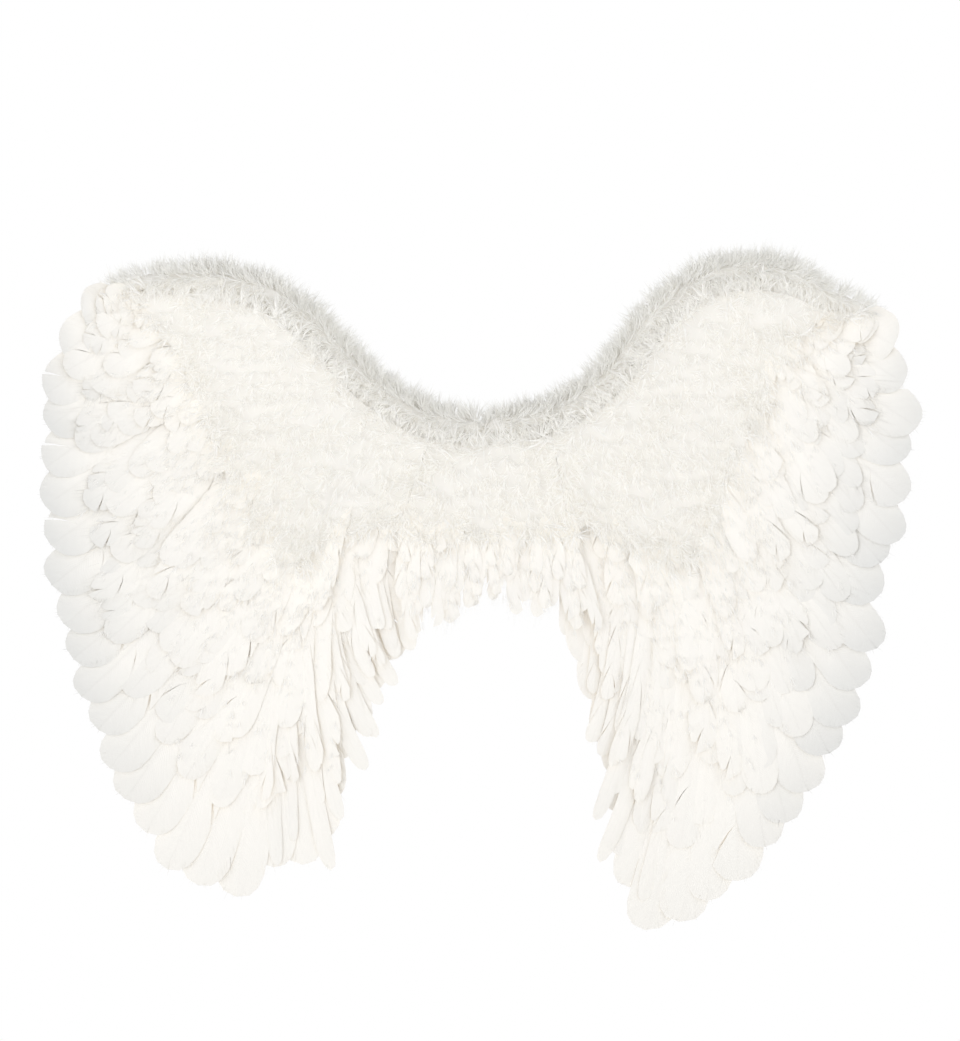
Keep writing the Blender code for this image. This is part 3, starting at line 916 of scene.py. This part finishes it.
def pad(name, stations, closes, seed):
    """A soft closed pad on the upper end of the feather lines, which slopes down from the trim and thins out
    below. Closes says whether it also thins out at its first and at its last side."""
    chance = random.Random(seed)
    look = settings("fluff")
    across_cuts, down_cuts = 44, 12
    shape = Shape()
    flows, grows, grid = [], [], []
    middle = (LEFT_STATIONS[1] + RIGHT_STATIONS[0]) / 2
    for row, station in enumerate(evenly(*stations, across_cuts)):
        reach = look.pad_reach + look.pad_dip * bell(station, middle, 2.0)
        ragged = sum(depth * math.sin(pace * station + shift) for depth, pace, shift in PAD_WAVES)
        end = reach * (0.94 + ragged)
        from_side = 1.0
        for steps, closed in zip((row, across_cuts - row), closes):
            if closed:
                from_side = min(from_side, steps / PAD_SIDE_ROWS)
        edge = pad_point(station + 0.05, 0.0) - pad_point(station - 0.05, 0.0)
        outward = Vector((-edge.z, 0.0, edge.x)).normalized()
        grid.append([])
        for cut in range(down_cuts + 1):
            share = end * cut / down_cuts
            left = 1.0 - cut / down_cuts
            slope = look.pad + (look.pad_top - look.pad) * left**1.7
            full = min(1.0, PAD_THINNING * left) * (0.3 + 0.7 * from_side)
            lump = 0.0 if row in (0, across_cuts) else 0.06 * chance.uniform(-1, 1)
            above = slope * (0.06 + 0.94 * full) * (1 + lump)
            here = pad_point(station, share, above)
            ahead = pad_point(station, share + 0.02, above) - here
            over = Vector((0.0, 0.0, 0.0))
            for side, step in ((0, 0.05), (across_cuts, -0.05)):
                if row == side:
                    over = (here - pad_point(station + step, share, above)).normalized()
            combed = min(1.0, 0.9 * cut - 0.8)
            at_end = max(0.0, 1.0 - 4.0 * left)
            at_top = 0.7 if cut == 0 else 0.0
            grid[-1].append((shape.add(here), shape.add(pad_point(station, share))))
            flows += [tuple((ahead.normalized() * combed if cut else outward) + over), (0.0, 0.0, 0.0)]
            grows += [1.0 + 0.6 * over.length + 0.35 * at_end + at_top, 0.8 if cut == 0 else 0.0]
    shape.closed_sheet(grid)
    return base_object(name, shape, flows, grows, [1.0] * len(grows))


def join_into(kept, others):
    """Joins other mesh objects into one, which keeps its name."""
    with bpy.context.temp_override(active_object=kept, selected_editable_objects=[kept, *others]):
        bpy.ops.object.join()
    kept.data.name = kept.name
    return kept


def plain_object(name, shape, finish, smooth=True):
    made = add_object(name, shape.mesh(name, smooth))
    made.data.materials.append(finish)
    return made


def wear(made, node):
    """Puts a finished piece on the frame in the place of its solid."""
    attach(made, BODY)
    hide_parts(node)


class Finish(Nodes):
    """A material in the making: a Principled shader and short calls for what feeds it."""

    def __init__(self, name, sheen=0.0):
        self.material = bpy.data.materials.new(name)
        self.material.use_nodes = True
        super().__init__(self.material.node_tree)
        self.shader = self.tree.nodes["Principled BSDF"]
        self.shader.inputs["Sheen Weight"].default_value = sheen
        self.shader.inputs["Sheen Roughness"].default_value = 0.6
        self.shader.inputs["Specular IOR Level"].default_value = 0.25
        self.spot = self.node("ShaderNodeTexCoord").outputs["Object"]

    def noise(self, scale, detail=3.0, roughness=0.55):
        given = {"Vector": self.spot, "Scale": scale, "Detail": detail, "Roughness": roughness}
        return self.node("ShaderNodeTexNoise", given).outputs["Fac"]

    def mix(self, share, first, second):
        made = self.node("ShaderNodeMix", {"Factor": share}, data_type="RGBA")
        for index, value in ((6, first), (7, second)):
            linked = isinstance(value, bpy.types.NodeSocket)
            self.give(value if linked else (*value, 1.0), made.inputs[index])
        return made.outputs[2]

    def clouded(self, colour, cloud, share, low, high, scale, detail=3.0):
        """A colour that takes on up to a share of a cloud's, where the noise is low."""
        return self.mix(self.span(self.noise(scale, detail), low, high, share, 0.0), colour, cloud)

    def attribute(self, name):
        return self.node("ShaderNodeAttribute", attribute_name=name).outputs["Fac"]

    def uv(self):
        """Across and along the piece's UV map."""
        pair = self.node("ShaderNodeUVMap", uv_map="UVMap").outputs[0]
        parts = self.node("ShaderNodeSeparateXYZ", {0: pair})
        return parts.outputs["X"], parts.outputs["Y"]

    def waves(self, value, pace):
        return self.math("SINE", self.times(value, pace))

    def colour(self, socket):
        self.give(socket, self.shader.inputs["Base Color"])

    def rough(self, noise, low, high):
        self.give(self.span(noise, 0.3, 0.7, low, high), self.shader.inputs["Roughness"])

    def bump(self, height, strength, distance):
        made = self.node("ShaderNodeBump", {"Height": height, "Strength": strength, "Distance": distance})
        self.give(made.outputs[0], self.shader.inputs["Normal"])


def shade(colour, *shares):
    """A colour times a share, or times a share for each of red, green and blue."""
    return tuple(value * share for value, share in zip(colour, shares if len(shares) == 3 else shares * 3))


def feather_finish():
    """Satin vanes with fine barbs, warm, and on the outer row a cool white that grows towards the tips,
    partly their own white and partly painted shade; with painted shade at each feather's tip and along its
    shaft.
    """
    colours = settings("finishes")
    made = Finish("white_feather_vane")
    across, along_vane = made.uv()
    barbs = made.times(made.waves(along_vane, 420.0), 0.5)
    clumps = made.times(made.waves(along_vane, 71.0), 0.5)
    stripes = made.math("ADD", barbs, clumps)
    tone = made.attribute("tone")
    place = made.attribute("place")
    # The cool colour grows towards each tip: partly the outer feathers' own cool white, partly painted shade
    # at the tips.
    cool = made.times(made.math("SUBTRACT", 1.0, tone), made.span(place, 0.70, 0.97, 0.15, 1.0))
    base = made.mix(cool, colours.feather_inner, colours.feather_outer)
    toned = made.clouded(base, (0.62, 0.63, 0.62), 0.02, 0.3, 0.7, 55.0)
    lined = made.mix(made.span(stripes, -1.0, 1.0, 0.035, 0.0), toned, (0.60, 0.61, 0.60))
    # Painted shade: darker towards each feather's tip and along its shaft, less so on the warm feathers.
    at_end = made.span(place, 0.80, 1.0, 0.0, 0.09)
    at_shaft = made.span(across, 0.0, 0.16, 0.12, 0.0)
    shaded = made.times(made.math("ADD", at_end, at_shaft), made.span(tone, 0.5, 1.0, 1.0, 0.3))
    vane = made.mix(shaded, lined, (0.66, 0.64, 0.61))
    made.colour(made.mix(made.attribute("downy"), vane, colours.down))
    made.rough(made.noise(120.0), 0.52, 0.72)
    made.bump(stripes, 0.2, 0.0003)
    return made.material


def fluff_finish(name, colour, edge):
    """Matt fluff, with painted shade at its base and at the root end of its barbs, as deep in the fluff, and
    a little cloudy. Edge is its colour where the tone is 0, which paints shade on the marabou's outer side.
    """
    made = Finish(name)
    # Painted shade: the edge colour shows where the tone is low, on the marabou's outer, upper side.
    toned = made.mix(made.attribute("tone"), edge, colour)
    # Painted shade: the base and the root end of each barb are darker and creamier, as deep in the fluff.
    shaded_roots = made.mix(made.span(made.attribute("place"), 0.0, 0.12), shade(colour, 0.90, 0.888, 0.865), toned)
    clouds = made.clouded(shaded_roots, (0.90, 0.89, 0.865), 0.08, 0.32, 0.62, 24.0, 2.0)
    made.colour(made.clouded(clouds, (0.80, 0.80, 0.77), 0.02, 0.25, 0.75, 70.0))
    made.rough(made.noise(200.0), 0.82, 0.98)
    made.bump(made.noise(900.0, 2.0), 0.15, 0.0004)
    return made.material


def felt_finish():
    """Pressed felt: a mat of short crossing fibres."""
    colour = settings("finishes").felt
    made = Finish("white_felt", sheen=0.2)
    fibres = made.noise(1400.0, 4.0, 0.7)
    mat = made.noise(260.0, 5.0, 0.65)
    made.colour(made.mix(made.span(mat, 0.35, 0.65, 0.0, 0.5), colour, shade(colour, 0.86)))
    made.rough(fibres, 0.88, 1.0)
    made.bump(made.math("ADD", fibres, made.times(mat, 1.5)), 0.5, 0.0006)
    return made.material


def elastic_finish():
    """Woven elastic: a row of rubber ribs along the band, crossed by fine threads."""
    colour = settings("finishes").elastic
    made = Finish("white_elastic", sheen=0.15)
    across, along_band = made.uv()
    threads = made.waves(along_band, 2 * math.pi / THREAD_PITCH)
    weave = made.times(threads, made.waves(across, 2 * math.pi * LOOP_RIBS))
    made.colour(made.mix(made.span(weave, -1.0, 1.0, 0.35, 0.0), colour, shade(colour, 0.78)))
    made.rough(made.noise(500.0), 0.72, 0.9)
    made.bump(made.math("ADD", weave, made.times(made.noise(2500.0), 0.5)), 0.6, 0.0003)
    return made.material


def feather_piece(name, kind, rows, stations, proud_last, makings, seed):
    """One row of feathers, or several rows that lie on each other, as one piece. Makings are the kinds of
    feather, the kinds of tuft and the tree."""
    feathers, tufts, tree = makings
    look = settings("feather")
    chosen = [row for row in rows if row[0] == kind]
    made = feather_points(name, chosen, stations, proud_last, seed)
    finish = bpy.data.materials.get("white_feather_vane") or feather_finish()
    return apply_tree(made, tree, {
        "Feathers": feathers, "Ruffle": look.ruffle, "Seed": seed, "Tufts": tufts,
        "Loose density": look.looseness, "Loose length": look.loose_length, "Material": finish})


def fluff_piece(base, makings, length, density, leans, seed):
    """Tufts on a base, as one piece. Makings are the kinds of tuft, the tree and the material."""
    tufts, tree, finish = makings
    lean, scatter = leans
    return apply_tree(base, tree, {
        "Tufts": tufts, "Density": density, "Length": length, "Lean": lean, "Scatter": scatter,
        "Seed": seed, "Material": finish})


class WINGS_OT_feather_rows(bpy.types.Operator):
    """Lays the flight feathers and the coverts of both wings and of the middle"""

    bl_idname = "wings.feather_rows"
    bl_label = "Feather rows"

    def execute(self, context):
        feathers, tufts = feather_kinds(), tuft_kinds(LOOSE_TUFT)
        makings = (feathers, tufts, feather_tree())
        seed = settings("feather").seed
        wings = (("left", LEFT_STATIONS, True), ("right", RIGHT_STATIONS, False))
        for kind in ("flight_feathers", "long_coverts", "short_coverts"):
            for side, stations, proud_last in wings:
                seed += 1
                made = feather_piece(side + "_" + kind, kind, WING_ROWS, stations, proud_last, makings, seed)
                if kind in (row[0] for row in INNER_ROWS):
                    strands = feather_piece(
                        made.name + "_strands", kind, INNER_ROWS, INNER_STRETCHES[side], proud_last, makings,
                        seed + 40)
                    made = join_into(made, [strands])
                wear(made, kind + "_" + side)
        middle = feather_piece(
            "middle_feathers", "centre_feathers", CENTRE_ROWS, CENTRE_STATIONS, True, makings, seed + 1)
        wear(middle, "centre_feathers")
        drop_collection(feathers)
        drop_collection(tufts)
        return {"FINISHED"}


class WINGS_OT_down(bpy.types.Operator):
    """Lays the down of both wings and of the middle: soft pads, small feathers and tufts"""

    bl_idname = "wings.down"
    bl_label = "Down"

    def execute(self, context):
        look = settings("fluff")
        feathers, loose, tufts = feather_kinds(), tuft_kinds(LOOSE_TUFT), tuft_kinds(FULL_TUFT)
        makings = (feathers, loose, feather_tree())
        tree = fluff_tree()
        colour = settings("finishes").down
        fluffy = (tufts, tree, fluff_finish("white_down", colour, colour))
        seed = look.seed
        left, right, last = LEFT_STATIONS[1] + SEAM, RIGHT_STATIONS[0] - SEAM, float(LAST_STATION)
        near = SEAM / 8
        # name, node, rows, stations, whether the last side is proud, which sides are free
        plan = (
            ("left_down", "down_left", WING_ROWS, (0.0, left - near), True, (True, False)),
            ("right_down", "down_right", WING_ROWS, (right + near, last), False, (False, True)),
            ("middle_down", "centre_down", CENTRE_ROWS, (left + near, right - near), True, (False, False)),
        )
        for name, node, rows, stations, proud_last, closes in plan:
            seed += 1
            base = pad(name, stations, closes, seed)
            fluff = fluff_piece(base, fluffy, look.down_length, look.down_density, DOWN_LEAN, seed)
            kind = "centre_down" if node == "centre_down" else "down"
            small = feather_piece(name + "_feathers", kind, rows, stations, proud_last, makings, seed)
            wear(join_into(fluff, [small]), node)
        for spent in (feathers, loose, tufts):
            drop_collection(spent)
        return {"FINISHED"}


def trim_base(name, first, last, wraps_first, seed):
    """The trim's core outside the leading edge and round the shoulder along the outermost feather line."""
    look = settings("fluff")
    gap = settings("sizes").gap
    chance = random.Random(seed)
    pitch, sides, wrap_share, smooth = 0.004, 14, 0.75, 4
    edge = [Vector(line_point(station, 0.0)) for station in evenly(first, last, 160)]
    outer_line = first if wraps_first else last
    wrap = [Vector(line_point(outer_line, share)) for share in evenly(0.0, wrap_share, 16)]
    if wraps_first:
        route = even_points(wrap[::-1], pitch)[:-1] + even_points(edge, pitch)
    else:
        route = even_points(edge, pitch) + even_points(wrap, pitch)[1:]
    shape = Shape()
    flows, grows, painted_shade_tones, rings = [], [], [], []
    last_ring = len(route) - 1
    for ring, middle in enumerate(route):
        way = (route[min(ring + smooth, last_ring)] - route[max(ring - smooth, 0)]).normalized()
        outward = Vector((-way.y, way.x))
        from_end = ring if wraps_first else last_ring - ring
        grown = min(from_end * pitch / look.trim_taper, 1.0)
        full = look.trim_radius * (0.35 + 0.65 * grown)
        seat = full * look.trim_seat + gap
        to_cap = min(ring, last_ring - ring) / 2
        rounded = min(1.0, 0.25 + 0.75 * math.sin(min(to_cap, 1.0) * math.pi / 2))
        core = look.trim_core * (0.6 + 0.4 * grown) * rounded
        points = []
        for side in range(sides):
            angle = 2 * math.pi * side / sides
            radius = core * (1 + 0.16 * chance.uniform(-1, 1))
            out = middle + outward * (seat + radius * math.cos(angle))
            here = swept(out.x, out.y, full * 1.02 + gap + radius * math.sin(angle))
            points.append(shape.add(here))
            in_front = max(0.0, math.sin(angle - 0.5))
            along_way = 0.25 + 0.85 * bell(angle, 0.85, 0.45)
            lean = Vector((way.x, 0.0, way.y)) * (-along_way if wraps_first else along_way)
            lean += Vector((outward.x, 0.0, outward.y)) * (0.7 - 2.4 * in_front)
            flows.append(tuple(lean))
            long = 1.0 + 0.3 * max(0.0, math.sin(angle)) + 0.22 * max(0.0, math.cos(angle))
            grows.append((0.75 + 0.25 * grown) * long)
            # Painted shade: the tone falls to 0 on the trim's outer, upper side and rises towards its front
            # and inner side.
            painted_shade_tones.append(clamp(0.55 - 1.1 * math.cos(angle) + 0.3 * math.sin(angle)))
        rings.append(points)
    shape.tube(rings)
    return base_object(name, shape, flows, grows, painted_shade_tones)


class WINGS_OT_marabou_trim(bpy.types.Operator):
    """Winds the marabou trim along both leading edges"""

    bl_idname = "wings.marabou_trim"
    bl_label = "Marabou trim"

    def execute(self, context):
        look = settings("fluff")
        tufts = tuft_kinds(FULL_TUFT)
        tree = fluff_tree()
        colours = settings("finishes")
        makings = (tufts, tree, fluff_finish("white_marabou", colours.marabou, colours.marabou_painted_shade))
        seed = look.seed + 20
        for side, first, last, wraps_first in (
            ("left", 0.0, TRIM_MEETING - SEAM, True),
            ("right", TRIM_MEETING + SEAM, float(LAST_STATION), False),
        ):
            seed += 1
            base = trim_base(side + "_marabou_trim", first, last, wraps_first, seed)
            fluff = fluff_piece(base, makings, look.trim_length, look.trim_density, MARABOU_LEAN, seed)
            wear(fluff, "marabou_trim_" + side)
        drop_collection(tufts)
        return {"FINISHED"}


class WINGS_OT_backing_board(bpy.types.Operator):
    """Cuts the felt board that carries the feathers"""

    bl_idname = "wings.backing_board"
    bl_label = "Backing board"

    def execute(self, context):
        sizes = settings("sizes")
        shape = Shape()
        across_cuts, down_cuts = 150, 16
        rim = 0.0008
        grid = []
        for row, station in enumerate(evenly(0.0, LAST_STATION, across_cuts)):
            grid.append([])
            for cut, share in enumerate(evenly(0.0, sizes.board_reach, down_cuts)):
                at_rim = row in (0, across_cuts) or cut in (0, down_cuts)
                inset = rim if at_rim else 0.0
                place = line_point(station, share)
                depths = (sizes.board - inset, inset)
                grid[-1].append([shape.add(swept(*place, depth)) for depth in depths])
        shape.closed_sheet(grid)
        wear(plain_object("felt_board", shape, felt_finish()), "backing_board")
        return {"FINISHED"}


def loop_point(station, mirror):
    sizes = settings("loops")
    out, away, up = along(LOOP_ROUTE, station)
    seat = settings("sizes").gap + sizes.thickness / 2
    across = mirror * (sizes.foot + sizes.splay * out)
    return Vector((across, seat + sizes.reach * max(away, 0.0), sizes.rise * up))


class WINGS_OT_shoulder_loops(bpy.types.Operator):
    """Makes the two elastic loops, with ribs along the band"""

    bl_idname = "wings.shoulder_loops"
    bl_label = "Shoulder loops"

    def execute(self, context):
        sizes = settings("loops")
        finish = elastic_finish()
        columns = LOOP_RIBS * 2
        for side, mirror in (("left", -1), ("right", 1)):
            count = (len(LOOP_ROUTE) - 1) * LOOP_SECTIONS
            shape = Shape()
            grid = []
            run = 0.0
            before = loop_point(0.0, mirror)
            for index in range(count + 1):
                station = index / LOOP_SECTIONS
                here = loop_point(station, mirror)
                run += (here - before).length
                before = here
                way = (loop_point(station + 0.05, mirror) - loop_point(station - 0.05, mirror)).normalized()
                wide = (Vector((1, 0, 0)) - way * way.x).normalized()
                thick = way.cross(wide)
                grid.append([])
                for column in range(columns + 1):
                    share = column / columns
                    rib = 0.30 if column % 2 else 0.5
                    half = sizes.thickness * (rib if 0 < column < columns else 0.22)
                    place = here + wide * (sizes.width * (share - 0.5))
                    grid[-1].append(shape.both(place, thick * half, pair=(share, run)))
            shape.closed_sheet(grid)
            made = plain_object(side + "_shoulder_loop", shape, finish)
            wear(made, "shoulder_loop_" + side)
        return {"FINISHED"}


class WINGS_OT_studio(bpy.types.Operator):
    """Sets up the camera, the pale floor and surround, and the soft lights"""

    bl_idname = "wings.studio"
    bl_label = "Studio"

    def execute(self, context):
        look = settings("studio")
        scene = context.scene
        camera_data = bpy.data.cameras.new("camera")
        camera_data.lens = camera_data.sensor_width * look.distance / look.view_height
        camera_data.clip_end = 30.0
        camera = add_object("camera", camera_data)
        camera.location = (0.0, -look.distance, look.view_up)
        camera.rotation_euler = (math.pi / 2, 0.0, 0.0)
        scene.camera = camera

        shape = Shape()
        half = 1.8
        corners = ((-half, -half), (half, -half), (half, half), (-half, half))
        shape.faces.append(tuple(shape.add((x, y, look.floor)) for x, y in corners))
        paint = Finish("pale_floor")
        paint.shader.inputs["Roughness"].default_value = 0.7
        pale = (0.95, 0.95, 0.94)
        paint.colour(paint.mix(paint.span(paint.noise(3.0), 0.3, 0.7), shade(pale, 0.985), pale))
        floor = plain_object("floor", shape, paint.material, smooth=False)

        scene.world = bpy.data.worlds.new("pale_surround")
        scene.world.use_nodes = True
        sky = Nodes(scene.world.node_tree)
        around = sky.node("ShaderNodeTexCoord").outputs["Generated"]
        up = sky.node("ShaderNodeSeparateXYZ", {0: around}).outputs["Z"]
        light = sky.span(up, 0.0, 0.8, look.surround, look.surround * look.overhead)
        seen = sky.node("ShaderNodeLightPath").outputs["Is Camera Ray"]
        background = sky.tree.nodes["Background"]
        background.inputs["Color"].default_value = (1.0, 1.0, 1.0, 1.0)
        sky.give(sky.span(seen, 0.0, 1.0, light, look.backdrop), background.inputs["Strength"])

        # name, power, size, place, aim
        lamps = (
            ("key", look.key, 1.0, (-1.5, -2.2, -0.2), (0.0, 0.0, 0.0)),
            ("fill", look.fill, 1.8, (1.5, -1.9, -0.3), (0.0, 0.0, -0.05)),
            ("back", look.fill, 1.5, (0.4, 2.2, 0.8), (0.0, 0.0, 0.0)),
        )
        for name, power, size, place, aim in lamps:
            lamp = bpy.data.lights.new(name, "AREA")
            lamp.energy = power
            lamp.size = size
            made = add_object(name, lamp)
            made.location = place
            made.rotation_euler = (Vector(aim) - Vector(place)).to_track_quat("-Z", "Y").to_euler()
        scene.cycles.diffuse_bounces = look.bounces
        scene.cycles.max_bounces = look.bounces
        scene.view_settings.view_transform = "Standard"
        scene.view_settings.look = "None"
        return {"FINISHED"}


class WINGS_PT_panel(bpy.types.Panel):
    """Lists the pieces of the wings and their settings"""

    bl_idname = "WINGS_PT_panel"
    bl_label = "Angel wings"
    bl_space_type = "VIEW_3D"
    bl_region_type = "UI"
    bl_category = "Wings"

    def draw(self, context):
        for operator in OPERATORS:
            self.layout.operator(operator.bl_idname)
        for name, group in GROUPS.items():
            box = self.layout.box()
            box.label(text=group.__doc__)
            for label in group.__annotations__:
                box.prop(getattr(context.scene, "wings_" + name), label)


OPERATORS = (
    WINGS_OT_studio,
    WINGS_OT_backing_board,
    WINGS_OT_feather_rows,
    WINGS_OT_down,
    WINGS_OT_marabou_trim,
    WINGS_OT_shoulder_loops,
)
GROUPS = {
    "sizes": WingSizes,
    "feather": FeatherLook,
    "fluff": FluffLook,
    "loops": LoopSizes,
    "finishes": Finishes,
    "studio": Studio,
}


def register():
    for made in (*GROUPS.values(), *OPERATORS, WINGS_PT_panel):
        bpy.utils.register_class(made)
    for name, group in GROUPS.items():
        setattr(bpy.types.Scene, "wings_" + name, bpy.props.PointerProperty(type=group))


def unregister():
    for name in GROUPS:
        delattr(bpy.types.Scene, "wings_" + name)
    for made in (WINGS_PT_panel, *reversed(OPERATORS), *reversed(GROUPS.values())):
        bpy.utils.unregister_class(made)


def main():
    register()
    bpy.ops.wings.studio()
    bpy.ops.wings.backing_board()
    bpy.ops.wings.feather_rows()
    bpy.ops.wings.down()
    bpy.ops.wings.marabou_trim()
    bpy.ops.wings.shoulder_loops()


if __name__ == "__main__":
    main()
